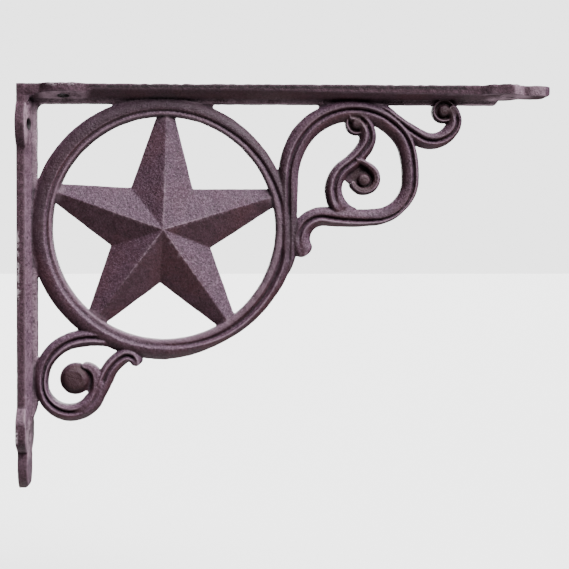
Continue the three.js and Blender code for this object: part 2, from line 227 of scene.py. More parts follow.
def walk(start, heading, left, right, round_end, arcs, pace=0.6):
    """Stations x, z, heading, left, right along a chain of arcs. Within an arc the heading turns
    evenly and the widths run evenly to the arc's own; the round end narrows like a half ellipse."""
    rows = [np.array([[start[0], start[1], math.radians(heading), left, right]])]
    for radius, turn, to_left, to_right in arcs + ((0, round_end, None, None),):
        angle = math.radians(turn) if radius else 0.0
        length = radius * abs(angle) if radius else turn
        count = max(4, math.ceil(length / pace))
        share = np.arange(1, count + 1) / count
        x0, z0, h0, l0, r0 = rows[-1][-1]
        middle = h0 + angle * (share - 0.5 / count)
        x = x0 + np.cumsum(np.cos(middle)) * length / count
        z = z0 + np.cumsum(np.sin(middle)) * length / count
        if to_left is None:
            narrow = np.sqrt(BLUNT - share ** 2)
            widths = l0 * narrow, r0 * narrow
        else:
            widths = l0 + (to_left - l0) * share, r0 + (to_right - r0) * share
        rows.append(np.stack([x, z, h0 + angle * share, *widths], -1))
    return np.vstack(rows)


def strap_rings(stations, bed, fade=1.0, rise=1.0):
    """Sections of a strap, points running from the outer edge over the front to the inner edge
    and back behind. With t from 0 at a crest to 1 at its edge, the height falls as
    1 - t^OUTER_POWER outside and 1 - t^power inside. With s from 0 at the groove's middle to 1 at
    a crest, it rises as |s|^GROOVE_POWER. Bed gives the inner crest, the groove's floor, its half
    width and the power. Fade is 1 where the groove is whole and 0 where it has run out, and rise
    scales all heights."""
    inner_crest, floor, half, power = bed
    x, z, heading, left, right = stations.T[:, :, None]
    groove = np.minimum(half, 0.4 * np.minimum(left, right))
    floor = inner_crest + (floor - inner_crest) * np.reshape(fade, (-1, 1))
    outer_side = groove + (left - groove) * SLOPE_STEPS
    outer_height = (STRAP_EDGE + (STRAP_CREST - STRAP_EDGE) * (1 - SLOPE_STEPS ** OUTER_POWER)
                    + 0 * groove)
    bed_side = groove * GROOVE_STEPS
    bed_top = np.where(GROOVE_STEPS > 0, STRAP_CREST, inner_crest)
    bed_height = floor + (bed_top - floor) * np.abs(GROOVE_STEPS) ** GROOVE_POWER + 0 * groove
    inner_steps = SLOPE_STEPS[::-1]
    inner_side = -groove - (right - groove) * inner_steps
    inner_height = (STRAP_EDGE + (inner_crest - STRAP_EDGE) * (1 - inner_steps ** power)
                    + 0 * groove)
    side = np.hstack([outer_side, bed_side, inner_side])
    height = np.hstack([outer_height, bed_height, inner_height]) * np.reshape(rise, (-1, 1))
    side = np.hstack([side, side[:, ::-1]])
    height = np.hstack([height, -height[:, ::-1]])
    return np.stack([x - np.sin(heading) * side, -height, z + np.cos(heading) * side], -1)


def scroll_surface(scroll, lead, tail, rises):
    """A strap along its walk. Its groove eases in from 0.35 of the lead to the whole of it, and
    out from 1.4 of the tail before the end to half of it, both in millimetres. Where it rises,
    the first RISE_LENGTH climbs from half height."""
    stations = walk(*scroll)
    step = np.hypot(*np.diff(stations[:, :2], axis=0).T)
    gone = np.append(0, np.cumsum(step))
    left = gone[-1] - gone
    fade = eased(gone, 0.35 * lead, lead) if lead else np.ones(len(stations))
    if tail:
        fade = fade * eased(left, 0.5 * tail, 1.4 * tail)
    rise = 0.5 + 0.5 * eased(gone, 0, RISE_LENGTH) if rises else np.ones(len(stations))
    return closed_skin(strap_rings(stations, SCROLL_BED, fade, rise))


def ring_surface():
    """The same strap round a circle. Its outer edge is a circle set a little towards the wall and
    swollen as RING_SWELL says, its inner edge a true circle, and its groove follows the tables,
    read off by straight lines between their rows."""
    angle = -np.linspace(0, 2 * math.pi, RING_STATIONS, endpoint=False)
    swell, line, cut, half, crest = (
        np.interp(-np.degrees(angle), *np.array(table).T)
        for table in (RING_SWELL, RING_LINE, RING_CUT, RING_HALF, RING_CREST))
    stations = np.stack([
        RING_CENTRE[0] + line * np.cos(angle), RING_CENTRE[1] + line * np.sin(angle),
        angle - math.pi / 2, RING_OUTER - line + RING_OUTER_SHIFT * np.cos(angle) + swell,
        line - RING_INNER], -1)
    bed = crest[:, None], RING_FLOOR, half[:, None], RING_POWER
    return closed_skin(strap_rings(stations, bed, cut), loop=True)


def star_surface():
    """Straight lines fall from the raised middle to a ten-sided rim, so each arm has two flats and
    a ridge. Along an angle the rim lies where the ray meets its side, or where it meets the circle
    midway between RING_GROOVE and the ring's outer edge, if that is nearer."""
    turn = np.radians(90 - STAR_LEAN + np.arange(11) * 36)
    tip = np.arange(11) % 2 == 0
    reach = np.where(tip, STAR_REACH, STAR_WAIST)
    corner_x = reach * np.cos(turn) + np.where(tip, 0, STAR_WAIST_SHIFT[0])
    corner_z = reach * np.sin(turn) + np.where(tip, 0, STAR_WAIST_SHIFT[1])
    share = np.linspace(0, 1, STAR_STEPS, endpoint=False)
    x = (corner_x[:-1, None] + (corner_x[1:] - corner_x[:-1])[:, None] * share).ravel()
    z = (corner_z[:-1, None] + (corner_z[1:] - corner_z[:-1])[:, None] * share).ravel()
    far = np.hypot(x, z)
    unit_x, unit_z = x / far, z / far
    off_x, off_z = STAR_CENTRE[0] - RING_CENTRE[0], STAR_CENTRE[1] - RING_CENTRE[1]
    along = off_x * unit_x + off_z * unit_z
    disc = -along + np.sqrt(along ** 2 - off_x ** 2 - off_z ** 2
                            + ((RING_GROOVE + RING_OUTER) / 2) ** 2)
    rim = np.minimum(far, disc)
    out = np.linspace(STAR_FIRST_STEP, 1, STAR_STEPS)[:, None] * rim
    height = STAR_HEIGHT + (STAR_RIM_HEIGHT - STAR_HEIGHT) * out / far
    front = np.stack([STAR_CENTRE[0] + out * unit_x, -height, STAR_CENTRE[1] + out * unit_z], -1)
    back = front[::-1] * (1, -1, 1)
    return closed_skin(np.concatenate([front, back])[::-1])


def volute_surface(centre, radius, boss, floor, rim):
    """A turned shape: a flat boss with a round shoulder, a valley, a rim and a thin edge, the same
    on the back. On a wide boss a low crescent stands to the right, a bell curve across and a
    power of the cosine along."""
    valley = max(boss + 0.6, radius * 0.7)
    brim = max(radius * 0.86, valley + 0.2)
    share, boss_height = np.array(BOSS_PROFILE).T
    r = np.concatenate([share * boss, [1.03 * boss, valley, (valley + brim) / 2, brim,
                                       (brim + radius) / 2, radius]])
    height = np.concatenate([boss_height, [floor + 0.8, floor, (floor + rim) / 2, rim, rim - 0.2,
                                           min(STRAP_EDGE, rim)]])
    angle = np.linspace(0, 2 * math.pi, VOLUTE_STEPS, endpoint=False)
    tall, away, half, turn, power = CRESCENT
    across = np.exp(-((r / boss - away) / half) ** 2)[:, None]
    along = np.maximum(0, np.cos(angle - turn)) ** power
    crescent = across * along * (tall if boss > WIDE_BOSS else 0.0)
    front = np.stack([
        centre[0] + r[:, None] * np.cos(angle), -height[:, None] - crescent,
        centre[1] + r[:, None] * np.sin(angle)], -1)
    back = front[::-1] * (1, -1, 1)
    return closed_skin(np.concatenate([front, back])[::-1])


def web_surface(outline):
    """A flat piece of that outline in x and z, WEB_HALF thick to each side."""
    x, z = np.array(outline, float).T
    y = np.array([-WEB_HALF, WEB_HALF])[:, None] + 0 * x
    return closed_skin(np.stack([x + 0 * y, y, z + 0 * y], -1))


def web_surfaces():
    """The discs beside the curls and the blocks under the shelf rib, which reach up to its root."""
    turn = np.linspace(0, 2 * math.pi, ROUND_STEPS, endpoint=False)
    discs = [np.stack([x + r * np.cos(turn), z + r * np.sin(turn)], -1) for (x, z), r in WEB_DISCS]
    top = -PLATE_ROOT
    blocks = [[(left, bottom), (right, bottom), (right, top), (left, top)]
              for left, right, bottom in WEB_BLOCKS]
    return [web_surface(outline) for outline in discs + blocks]


def half_width(along, length, corner_hole, end_hole):
    """Half width of a plate at each distance from the corner: its own, an arc over the corner ear,
    a quarter wave up to the end ear and another down to the tip, and a tip that bulges by half a
    wave and ends as a blunt round, the root of BLUNT - share^4."""
    swell = EAR_HALF_WIDTH - PLATE_HALF_WIDTH
    bow = (CORNER_EAR_HALF_LENGTH ** 2 + swell ** 2) / (2 * swell)
    corner = np.abs(along - corner_hole)
    ear = EAR_HALF_WIDTH - bow + np.sqrt(np.maximum(0, bow ** 2 - corner ** 2))
    lead = np.clip((along - end_hole + END_EAR_LEAD) / END_EAR_RISE, 0, 1)
    rise = PLATE_HALF_WIDTH + swell * np.sin(lead * math.pi / 2)
    beyond = along - end_hole
    fall = TIP_HALF_WIDTH + (EAR_HALF_WIDTH - TIP_HALF_WIDTH) * np.cos(
        np.clip(beyond / END_EAR_FALL, 0, 1) * math.pi / 2)
    share = np.clip((beyond - END_EAR_FALL) / (length - end_hole - END_EAR_FALL), 0, 1)
    tip = (TIP_HALF_WIDTH + TIP_BULGE * np.sin(share * math.pi)) * np.sqrt(BLUNT - share ** 4)
    width = np.where(beyond > 0, fall, rise)
    width = np.where(beyond > END_EAR_FALL, tip, width)
    return np.where(corner < CORNER_EAR_HALF_LENGTH, np.maximum(ear, width), width)


def plate_surface(length, holes, thin, run_out, upright):
    """A plate with its rib as one section carried along: flat outer face, upright edge, underside
    sloping in to the rib's root, and the rib, which runs out before the end hole. The edge is thick
    at the ears and thinner between them. The last TIP_ROUND thins to about TIP_THIN of it, in a
    quarter ellipse."""
    along = np.unique(np.concatenate([
        np.arange(0, length, 1.0),
        *(np.linspace(middle - before, middle + after, count) for middle, (before, after, count)
          in ((length, TIP_STATIONS), (holes[1], END_HOLE_STATIONS)))]))
    width = half_width(along, length, *holes)
    ear_end = holes[0] + CORNER_EAR_HALF_LENGTH
    rib_end = holes[1] - END_EAR_LEAD + END_EAR_RISE
    edge = np.interp(along, [0, ear_end, ear_end + EDGE_TAPER, thin[1], rib_end, length],
                     [CORNER_EAR_EDGE, CORNER_EAR_EDGE, thin[0], thin[0], END_EAR_EDGE,
                      END_EAR_EDGE])
    run = eased(along, run_out[0], sum(run_out))
    root = PLATE_ROOT + (edge - PLATE_ROOT) * run
    drop = RIB_DEPTH + (edge - RIB_DEPTH) * run
    share = np.clip((along - length + TIP_ROUND) / TIP_ROUND, 0, 1)
    thinner = TIP_THIN + (1 - TIP_THIN) * np.sqrt(1 - 0.98 * share ** 2)
    edge, root, drop = edge * thinner, root * thinner, drop * thinner
    narrow = np.minimum(1, width / PLATE_HALF_WIDTH)
    nothing = np.zeros_like(along)
    half = [(width, nothing), (width, edge), ((RIB_HALF + RIB_FLARE) * narrow, root),
            (RIB_HALF * narrow, drop)]
    across = np.stack([-w for w, _ in half] + [w for w, _ in half[::-1]], -1)
    down = np.stack([-d for _, d in half] + [-d for _, d in half[::-1]], -1)
    out = np.broadcast_to(along[:, None], across.shape)
    rings = np.stack([-down, across, -out] if upright else [out, across, down], -1)
    return closed_skin(rings[:, ::-1] if upright else rings)


def hole_surface(along, across, upright):
    """A long round bar that cuts a screw hole."""
    angle = np.linspace(0, 2 * math.pi, ROUND_STEPS, endpoint=False)
    a = along + SCREW_HOLE / 2 * np.cos(angle)
    b = across + SCREW_HOLE / 2 * np.sin(angle)
    depth = np.array([HOLE_BAR, -HOLE_BAR])[:, None] + 0 * angle
    a, b = a + 0 * depth, b + 0 * depth
    rings = np.stack([-depth, b, -a] if upright else [a, b, depth], -1)
    return closed_skin(rings[:, ::-1] if upright else rings)


def fillet_surface(size, depth, half_thickness):
    """A filler with a hollow quarter circle in the corner of two faces that lie at that depth."""
    turn = np.linspace(math.pi / 2, math.pi, 20)
    x = np.concatenate([[-0.4, size], size + size * np.cos(turn), [-0.4]])
    z = np.concatenate([[0.4, 0.4], -size + size * np.sin(turn), [-size]])
    y = np.array([-half_thickness, half_thickness])[:, None] + 0 * x
    return closed_skin(np.stack([x + depth + 0 * y, y, z - depth + 0 * y], -1))


def make_object(name, surfaces):
    """One object from closed surfaces, all turned to face outwards."""
    data = bpy.data.meshes.new(name)
    points, faces, base = [], [], 0
    for p, parts in surfaces:
        triangles = np.vstack([f[:, [0, 1, 2]] for f in parts]
                              + [f[:, [0, 2, 3]] for f in parts if f.shape[1] == 4])
        a, b, c = (p[triangles[:, i]] for i in range(3))
        if np.einsum("ij,ij->i", a, np.cross(b, c)).sum() < 0:
            triangles = triangles[:, ::-1]
        points.append(p)
        faces.append(triangles + base)
        base += len(p)
    points, faces = np.vstack(points), np.vstack(faces)
    data.vertices.add(len(points))
    data.vertices.foreach_set("co", points.astype(np.float32).ravel())
    data.loops.add(faces.size)
    data.loops.foreach_set("vertex_index", faces.ravel().astype(np.int32))
    data.polygons.add(len(faces))
    data.polygons.foreach_set("loop_start", np.arange(0, faces.size, 3, dtype=np.int32))
    data.update(calc_edges=True)
    data.validate()
    thing = bpy.data.objects.new(name, data)
    bpy.context.scene.collection.objects.link(thing)
    return thing


def finished(thing):
    """The mesh of an object with its modifiers carried out; the object itself goes."""
    depsgraph = bpy.context.evaluated_depsgraph_get()
    data = bpy.data.meshes.new_from_object(thing.evaluated_get(depsgraph))
    old = thing.data
    bpy.data.objects.remove(thing)
    bpy.data.meshes.remove(old)
    return data


def drilled_plate(name, length, holes, thin, run_out, upright):
    """Points and triangles of a plate with its screw holes cut through: two by the corner and one
    in the end ear."""
    plate = make_object(name, [plate_surface(length, holes, thin, run_out, upright)])
    bars = make_object(name + "_bars", [
        hole_surface(holes[0], CORNER_HOLE_OFFSET, upright),
        hole_surface(holes[0], -CORNER_HOLE_OFFSET, upright),
        hole_surface(holes[1], 0.0, upright)])
    cut = plate.modifiers.new("screw holes", "BOOLEAN")
    cut.operation = "DIFFERENCE"
    cut.solver = "EXACT"
    cut.object = bars
    data = finished(plate)
    bpy.data.meshes.remove(finished(bars))
    points = np.empty(len(data.vertices) * 3)
    data.vertices.foreach_get("co", points)
    data.calc_loop_triangles()
    triangles = np.empty(len(data.loop_triangles) * 3, np.int32)
    data.loop_triangles.foreach_get("vertices", triangles)
    bpy.data.meshes.remove(data)
    return points.reshape(-1, 3), [triangles.reshape(-1, 3)]


# ---- Noise and wear, worked out on whole arrays ----
LATTICE_SIDE = 48
LATTICE = np.random.default_rng(41).random((LATTICE_SIDE,) * 3)
LATTICE_SHIFT = 1000.0


def value_noise(points, size):
    """Smooth noise from -1 to 1: random values on a lattice of that spacing, joined by an eased
    run between neighbours."""
    q = points / size + LATTICE_SHIFT
    cell = np.floor(q).astype(np.int64)
    f = q - cell
    f = f * f * (3 - 2 * f)
    total = 0.0
    for corner in range(8):
        step = np.array([corner & 1, corner >> 1 & 1, corner >> 2 & 1])
        i, j, k = ((cell + step) % LATTICE_SIDE).T
        weight = np.prod(np.where(step, f, 1 - f), axis=1)
        total = total + LATTICE[i, j, k] * weight
    return total * 2 - 1


def mesh_arrays(data):
    """Vertices, their normals and the edges of a mesh, as arrays."""
    points = np.empty(len(data.vertices) * 3)
    data.vertices.foreach_get("co", points)
    normals = np.empty(len(data.vertices) * 3, np.float32)
    data.vertex_normals.foreach_get("vector", normals)
    edges = np.empty(len(data.edges) * 2, np.int32)
    data.edges.foreach_get("vertices", edges)
    return points.reshape(-1, 3), normals.reshape(-1, 3).astype(float), edges.reshape(-1, 2)


def neighbour_mean(values, edges, count):
    """Mean over the edge neighbours of each vertex, column by column."""
    a, b = edges.T
    degree = np.bincount(a, minlength=count) + np.bincount(b, minlength=count)
    columns = [np.bincount(a, values[b, i], minlength=count)
               + np.bincount(b, values[a, i], minlength=count) for i in range(values.shape[1])]
    return np.stack(columns, -1) / np.maximum(degree, 1)[:, None]


def depth_below(points, normals, edges, passes):
    """How far the surface lies under its own smoothed form, in mm: above 0 in hollows, below 0 on
    ridges. Each pass moves every vertex half way to the mean of its neighbours."""
    smooth = points
    for _ in range(passes):
        smooth = (smooth + neighbour_mean(smooth, edges, len(points))) / 2
    return np.einsum("ij,ij->i", smooth - points, normals)


# Each place below is in mm, as where an eased step starts and where it is whole
FAR = 99.0
END_PAINT_SHIFT = 1.0


def stretch(value, start, full, low, end):
    """1 from full to low, 0 before start and after end, eased between."""
    return eased(value, start, full) * (1 - eased(value, low, end))


def to_nearest_hole(x, y, z):
    """Distance in mm from the middle of the nearest screw hole, and FAR more below the plates. The
    end holes' painted shade lies END_PAINT_SHIFT nearer the front than the holes do."""
    nearest = np.full(len(x), FAR)
    for along, below, holes in ((x, -z, SHELF_HOLES), (-z, x, WALL_HOLES)):
        in_plate = np.where(below < RIB_DEPTH + 0.5, 0.0, FAR)
        for hole, across, shift in ((holes[0], CORNER_HOLE_OFFSET, 0.0),
                                    (holes[1], 0.0, END_PAINT_SHIFT)):
            away = np.hypot(along - hole, np.abs(y + shift) - across) + in_plate
            nearest = np.minimum(nearest, away)
    return nearest


def ring_bands(x, y, z):
    """Painted shade on the ring's outer band, fading out below its middle, and painted light on its
    inner band, by how far a point lies past the line of the groove."""
    right, up = x - RING_CENTRE[0], z - RING_CENTRE[1]
    line_radius = np.interp(np.degrees(np.arctan2(-up, right)) % 360, *np.array(RING_LINE).T)
    past_line = np.hypot(right, up) - line_radius
    on_face = eased(np.abs(y), 1.6, 2.4)
    outer = on_face * stretch(past_line, 0.6, 1.6, 6.0, 7.0) * eased(up, -25, 0)
    return outer, on_face * stretch(past_line, -5.0, -4.2, -1.6, -0.7)


def place_masks(points, normals):
    """Where the skin changes, from 0 to 1: painted shade inside the screw holes; pale ears round
    them, partly wear and partly painted light from below, with painted light on the ribs' shaded
    faces and on the end ears' facets; the plates' upright side edges; a painted sheen on faces that
    look up towards the key light; the brown bosses; rubbed stretches of the outer edges with
    painted glints; a dark line under the shelf's top edge; painted shade on the ring's outer band
    and painted light on its inner one. Every mask is a product of eased steps in place and in the
    way that the surface looks."""
    x, y, z = points.T
    below, half, flank = -z, np.abs(y), np.abs(normals[:, 1])
    to_hole = to_nearest_hole(x, y, z)
    # Painted shade inside the screw holes
    hole_shade = 1 - eased(to_hole, SCREW_HOLE / 2, SCREW_HOLE / 2 + 1.0)
    in_edge = np.maximum(1 - eased(below, 4.4, 5.4), 1 - eased(x, 4.4, 5.4))
    side = eased(flank, 0.45, 0.75) * in_edge * eased(half, 5.5, 6.2)
    ends = np.maximum(eased(x, 200, 205), eased(below, 138, 142))
    # pale: painted light on the end ears' upright sides, where their facets turn towards the key
    # light
    pale = np.where(x > 100, np.interp(x, *np.array(SHELF_PAINTED_FACET_LIGHT).T),
                    np.interp(below, *np.array(WALL_PAINTED_FACET_LIGHT).T))
    # Pale round the holes: partly rubbed wear, partly painted light from below on the ears; painted
    # facet light on the end ears' sides
    ear = (1 - eased(to_hole, 8.0, 13.0)) * (1 - side) + side * pale
    # Painted light: faces of the wall plate that look away from the wall, the foot of each rib and
    # the ribs' upright faces under the plates are lightened with the ear colour
    room_side = eased(normals[:, 0], 0.6, 0.9) * (1 - eased(x, 9.0, 10.0)) * eased(below, 10, 20)
    rib_foot = eased(-normals[:, 2], 0.2, 0.6) * (1 - eased(half, 2.5, 3.0)) * stretch(
        below, 7.0, 7.6, 8.6, 8.9)
    rib_side = eased(flank, 0.5, 0.8) * (1 - eased(half, 2.9, 3.6)) * (
        1 - eased(np.minimum(x, below), 8.2, 8.8))
    ear = np.maximum(ear, np.maximum(0.25 * room_side, np.maximum(rib_foot, 0.45 * rib_side)))
    # Painted light: a lighter lavender sheen on faces that turn up and towards the key light
    upward_sheen = eased(normals @ (0.35, -0.25, 0.9), -0.05, 0.55)
    to_boss = np.full(len(points), FAR)
    for centre, radius, *_ in VOLUTES:
        to_boss = np.minimum(to_boss, np.hypot(x - centre[0], z - centre[1]) - radius)
    warm = 1 - eased(to_boss, -1.6, 0.6)
    # Rubbed stretches of the outer edges: partly wear, partly painted highlight as bright glints
    front = 1 - eased(y, -6.5, -5.0)
    along_wall = np.maximum(stretch(below, 64, 70, 94, 102), stretch(below, 153, 155, 160, 162))
    along_shelf = stretch(x, 13, 16, 27, 31)
    rubbed_and_glinting = front * np.maximum((1 - eased(x, 0.5, 1.3)) * along_wall,
                                (1 - eased(below, 0.6, 1.8)) * along_shelf)
    line = side * np.exp(-((z + 1.3) / 0.7) ** 2) * eased(x, 30, 36) * (1 - ends)
    outer_band_shade, inner_band_light = ring_bands(x, y, z)
    return {"hole_shade": hole_shade, "ear": ear, "side": side * (1 - 0.9 * pale), "upward_sheen": upward_sheen, "warm": warm,
            "rubbed_and_glinting": rubbed_and_glinting, "line": line, "outer_band_shade": outer_band_shade, "inner_band_light": inner_band_light}


# ---- The casting ----
VOXEL = 0.4
MOST_TRIANGLES = 192000
HOLLOW_PASSES = 6
WIDE_HOLLOW_PASSES = 40
# Sand-cast lumps as size, height and shift in mm, and where the shelf's upper edge is ragged: how
# far down that fades, the distance from the middle line at which it starts and is whole, its end
LUMPS = ((4.5, 0.10), (1.7, 0.06))
RAGGED_LUMPS = (2.3, 0.32, -0.06)
RAGGED_EDGE = (1.6, 6.0, 7.5, 236)
SIDE_LUMPS = (1.3, 0.16, -0.06)
BOX_GAP = 0.01
# The hollow fillings at the corner, between the plates and between the ribs
CORNER_FILLETS = ((6.0, CORNER_EAR_EDGE, 8.0), (3.0, RIB_DEPTH, RIB_HALF))


def sand_cast(points, normals, side):
    """Points moved along their normals by noise: low lumps all over, stronger ones on the shelf
    plate's ragged upper edge and on the side edges. What passes the solid's box is pressed back."""
    depth, start, whole, end = RAGGED_EDGE
    ragged = np.clip(1 - np.abs(points[:, 2]) / depth, 0, 1) * np.clip(
        (np.abs(points[:, 1]) - start) / (whole - start), 0, 1) * (points[:, 0] < end)
    lumps = sum(value_noise(points, size) * height for size, height in LUMPS)
    for where, (size, height, shift) in ((ragged, RAGGED_LUMPS), (side, SIDE_LUMPS)):
        lumps = lumps + where * (value_noise(points, size) * height + shift)
    lowest, highest = (np.array(corner) * 1000 - (0, 0, MOUNT_DROP) for corner in cad_box)
    return np.clip(points + normals * lumps[:, None], lowest + BOX_GAP, highest - BOX_GAP)


def build_casting():
    """All surfaces made one skin by a voxel remesh, roughened, given its masks as attributes,
    moved to its place in metres and thinned to MOST_TRIANGLES."""
    surfaces = [ring_surface(), star_surface()]
    surfaces += [scroll_surface(scroll, *ENDS[name]) for name, scroll in SCROLLS.items()]
    surfaces += [volute_surface(*volute) for volute in VOLUTES]
    surfaces += web_surfaces()
    surfaces += [fillet_surface(*fillet) for fillet in CORNER_FILLETS]
    surfaces.append(drilled_plate("shelf_plate", SHELF_LENGTH, SHELF_HOLES, SHELF_THIN,
                                  SHELF_RUN_OUT, False))
    surfaces.append(drilled_plate("wall_plate", WALL_LENGTH, WALL_HOLES, WALL_THIN, WALL_RUN_OUT,
                                  True))
    rough = make_object("casting_shells", surfaces)
    skin = rough.modifiers.new("one skin", "REMESH")
    skin.mode = "VOXEL"
    skin.voxel_size = VOXEL
    data = finished(rough)
    points, normals, edges = mesh_arrays(data)
    hollow = depth_below(points, normals, edges, HOLLOW_PASSES)
    wide_hollow = depth_below(points, normals, edges, WIDE_HOLLOW_PASSES)
    masks = place_masks(points, normals)
    points = sand_cast(points, normals, masks["side"])
    placed = (points + (0, 0, MOUNT_DROP)) / 1000
    data.vertices.foreach_set("co", placed.astype(np.float32).ravel())
    # ridge: wear and painted highlight along the crests of the front faces
    ridge = eased(-hollow, 0.03, 0.08) * eased(np.abs(points[:, 1]), 5.1, 7.5)
    masks.update(hollow=hollow, wide_hollow=wide_hollow, ridge=ridge)
    for name, values in masks.items():
        layer = data.attributes.new(name, "FLOAT", "POINT")
        layer.data.foreach_set("value", values.astype(np.float32))
    data.update()
    casting = bpy.data.objects.new("casting", data)
    bpy.context.scene.collection.objects.link(casting)
    data.calc_loop_triangles()
    fewer = casting.modifiers.new("fewer faces", "DECIMATE")
    fewer.ratio = min(1.0, MOST_TRIANGLES / len(data.loop_triangles))
    slim = finished(casting)
    slim.name = "casting"
    slim.shade_smooth()
    casting = bpy.data.objects.new("casting", slim)
    bpy.context.scene.collection.objects.link(casting)
    return casting


casting = build_casting()


# ---- Materials ----
class Wire:
    """A socket in a material, with the sums that the recipes below use."""

    def __init__(self, tree, socket):
        self.tree, self.socket = tree, socket

    def node(self, kind, settings=None, output=0, **inputs):
        """The wire from a new node of that type. Settings come first, then the inputs: values or
        wires, by the socket's name with _ for a space, or by i and its number."""
        made = self.tree.nodes.new(kind)
        for key, value in (settings or {}).items():
            setattr(made, key, value)
        for key, value in inputs.items():
            slot = made.inputs[int(key[1:])] if key[1:].isdigit() else made.inputs[
                key.replace("_", " ")]
            if isinstance(value, Wire):
                self.tree.links.new(value.socket, slot)
            else:
                slot.default_value = value
        return Wire(self.tree, made.outputs[output])

    def maths(self, operation, *values):
        return self.node("ShaderNodeMath", {"operation": operation},
                         **{f"i{n}": value for n, value in enumerate(values)})

    def __add__(self, other):
        return self.maths("ADD", self, other)

    def __sub__(self, other):
        return self.maths("SUBTRACT", self, other)

    def __rsub__(self, other):
        return self.maths("SUBTRACT", other, self)

    def __mul__(self, other):
        return self.maths("MULTIPLY", self, other)

    __radd__, __rmul__ = __add__, __mul__

    def between(self, low, high):
        """0 at low, 1 at high, eased between."""
        return self.node("ShaderNodeMapRange", {"interpolation_type": "SMOOTHSTEP"}, Value=self,
                         From_Min=low, From_Max=high)

    def mix(self, first, second):
        """first where this is 0, second where it is 1: wires, or red, green and blue."""
        first, second = (colour if isinstance(colour, Wire) else opaque(colour)
                         for colour in (first, second))
        return self.node("ShaderNodeMix", {"data_type": "RGBA"}, output=2, i0=self,
                         i6=first, i7=second)


def opaque(colour):
    return (*colour, 1.0)


# Linear colours of the iron, in the order in which they are laid over each other
DARK_SKIN, LIGHT_SKIN = (0.025, 0.0070, 0.0118), (0.048, 0.0165, 0.028)
BROWN = (0.042, 0.010, 0.013)
# Painted light: the lavender sheen of faces that look towards the key light
PAINTED_SHEEN = (0.058, 0.030, 0.058)
PALE_GRAIN, DARK_GRAIN = (0.145, 0.088, 0.130), (0.007, 0.0025, 0.0045)
BOSS = (0.021, 0.0052, 0.0070)
# Painted light on the ring's inner band, which faces the front
PAINTED_INNER_LIGHT = (0.140, 0.088, 0.115)
# Worn raised areas, then wear with painted highlights along fine crests and along ridges
WORN, CREST_WEAR_AND_HIGHLIGHT, RIDGE_WEAR_AND_HIGHLIGHT = (0.15, 0.098, 0.132), (0.21, 0.14, 0.18), (0.25, 0.17, 0.215)
# Painted shade on the ring's outer band, which slopes away from the lamps
PAINTED_OUTER_SHADE = (0.0135, 0.0036, 0.0074)
# Pale worn ears round the holes, and painted light on the ribs and on the end ears' facets
PALE_EAR_AND_PAINTED_LIGHT = (0.27, 0.18, 0.225)
SIDE, SIDE_FLECK = (0.016, 0.0036, 0.0074), (0.080, 0.032, 0.056)
TOP_LINE = (0.002, 0.001, 0.002)
# Painted highlights: glints on the side edges, and bright glints on the rubbed edges
SIDE_GLINT_HIGHLIGHT, RUBBED_GLINT_COLOUR = (0.10, 0.055, 0.075), (0.45, 0.38, 0.42)
# Painted shade and dark patina in the hollows; painted shade inside the screw holes
HOLLOW_SHADE_AND_PATINA, HOLE_SHADE = (0.0045, 0.0015, 0.003), (0.002, 0.001, 0.001)
# Sizes of the patterns in metres
PATCH_SIZE, MOTTLE_SIZE, GRAIN_SIZE, FINE_SIZE, PIT_SIZE = 0.022, 0.0045, 0.0011, 0.00045, 0.0013


